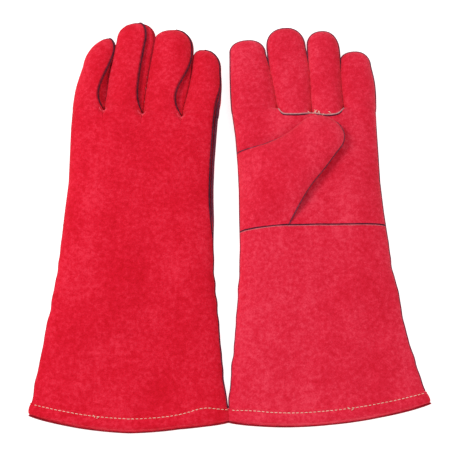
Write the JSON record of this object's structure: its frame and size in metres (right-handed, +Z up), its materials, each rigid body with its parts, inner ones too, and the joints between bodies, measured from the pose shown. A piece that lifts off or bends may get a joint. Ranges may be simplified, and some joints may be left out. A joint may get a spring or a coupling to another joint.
{
  "type": "welding gloves",
  "caption": "Pair of long leather gauntlets with flared cuffs, lying flat side by side, one palm up with its thumb folded over the palm, one palm down.",
  "frame": {"origin": "middle of the pair's bounding box, on the surface the gloves lie on", "axes": "+X across the pair, from the palm-down glove to the palm-up glove; +Y from the cuffs to the fingertips; +Z up from the surface"},
  "size_m": [0.3706, 0.4062, 0.0384],
  "materials": {
    "red_suede": "split suede with a fine nap",
    "dark_welt": "thin leather strip, darker than the glove",
    "cotton_lining": "brushed cotton",
    "cream_thread": "twisted sewing thread"
  },
  "bodies": {
    "left_glove": {"left_back_panel": "red_suede", "left_palm_panel": "red_suede", "left_cuff_front": "red_suede", "left_thumb_wing": "red_suede", "left_side_welts": "dark_welt", "left_palm_welts": "dark_welt", "left_hem_binding": "red_suede", "left_hem_stitching": "cream_thread", "left_hand_lining": "cotton_lining", "left_cuff_lining": "cotton_lining"},
    "left_index": {"left_index_back": "red_suede", "left_index_front": "red_suede", "left_index_welt": "dark_welt", "left_index_lining": "cotton_lining"},
    "left_middle": {"left_middle_back": "red_suede", "left_middle_front": "red_suede", "left_middle_welt": "dark_welt", "left_middle_lining": "cotton_lining"},
    "left_ring": {"left_ring_back": "red_suede", "left_ring_front": "red_suede", "left_ring_welt": "dark_welt", "left_ring_lining": "cotton_lining"},
    "left_little": {"left_little_back": "red_suede", "left_little_front": "red_suede", "left_little_welt": "dark_welt", "left_little_lining": "cotton_lining"},
    "left_thumb": {"left_thumb_back": "red_suede", "left_thumb_front": "red_suede", "left_thumb_welt": "dark_welt", "left_thumb_lining": "cotton_lining"},
    "right_glove": {"right_back_panel": "red_suede", "right_palm_panel": "red_suede", "right_cuff_front": "red_suede", "right_thumb_wing": "red_suede", "right_side_welts": "dark_welt", "right_palm_welts": "dark_welt", "right_hem_binding": "red_suede", "right_hem_stitching": "cream_thread", "right_hand_lining": "cotton_lining", "right_cuff_lining": "cotton_lining"},
    "right_index": {"right_index_back": "red_suede", "right_index_front": "red_suede", "right_index_welt": "dark_welt", "right_index_lining": "cotton_lining"},
    "right_middle": {"right_middle_back": "red_suede", "right_middle_front": "red_suede", "right_middle_welt": "dark_welt", "right_middle_lining": "cotton_lining"},
    "right_ring": {"right_ring_back": "red_suede", "right_ring_front": "red_suede", "right_ring_welt": "dark_welt", "right_ring_lining": "cotton_lining"},
    "right_little": {"right_little_back": "red_suede", "right_little_front": "red_suede", "right_little_welt": "dark_welt", "right_little_lining": "cotton_lining"},
    "right_thumb": {"right_thumb_back": "red_suede", "right_thumb_front": "red_suede", "right_thumb_welt": "dark_welt", "right_thumb_lining": "cotton_lining"}
  },
  "joints": [
    {"name": "left_index_curl", "type": "hinge", "parent": "left_glove", "child": "left_index", "pos_m": [0.0264, 0.11617, 0.0095], "axis": [0.994, 0.1092, 0], "range_deg": [-10, 75]},
    {"name": "left_middle_curl", "type": "hinge", "parent": "left_glove", "child": "left_middle", "pos_m": [0.06485, 0.11833, 0.0095], "axis": [0.9953, 0.0972, 0], "range_deg": [-10, 75]},
    {"name": "left_ring_curl", "type": "hinge", "parent": "left_glove", "child": "left_ring", "pos_m": [0.0968, 0.12004, 0.0095], "axis": [0.9973, 0.0729, 0], "range_deg": [-10, 75]},
    {"name": "left_little_curl", "type": "hinge", "parent": "left_glove", "child": "left_little", "pos_m": [0.12721, 0.12239, 0.0095], "axis": [0.9955, 0.0947, 0], "range_deg": [-10, 75]},
    {"name": "left_thumb_fold", "type": "hinge", "parent": "left_glove", "child": "left_thumb", "pos_m": [0.05611, 0.04618, 0.0314], "axis": [0.7638, -0.6455, 0], "range_deg": [0, 70]},
    {"name": "right_glove_lift", "type": "slide", "parent": "left_glove", "child": "right_glove", "axis": [0, 0, 1], "range_m": [0, 0.15]},
    {"name": "right_index_curl", "type": "hinge", "parent": "right_glove", "child": "right_index", "pos_m": [-0.13565, 0.117, 0.0238], "axis": [-0.994, 0.109, 0], "range_deg": [-20, 65]},
    {"name": "right_middle_curl", "type": "hinge", "parent": "right_glove", "child": "right_middle", "pos_m": [-0.10216, 0.11592, 0.0238], "axis": [-0.9939, 0.1107, 0], "range_deg": [-20, 65]},
    {"name": "right_ring_curl", "type": "hinge", "parent": "right_glove", "child": "right_ring", "pos_m": [-0.0662, 0.11431, 0.0238], "axis": [-0.9952, 0.098, 0], "range_deg": [-20, 65]},
    {"name": "right_little_curl", "type": "hinge", "parent": "right_glove", "child": "right_little", "pos_m": [-0.03075, 0.1123, 0.0238], "axis": [-0.998, 0.0627, 0], "range_deg": [-20, 65]},
    {"name": "right_thumb_fold", "type": "hinge", "parent": "right_glove", "child": "right_thumb", "pos_m": [-0.10643, 0.04383, 0.0064], "axis": [-0.6921, 0.7218, 0], "range_deg": [0, 70]}
  ]
}
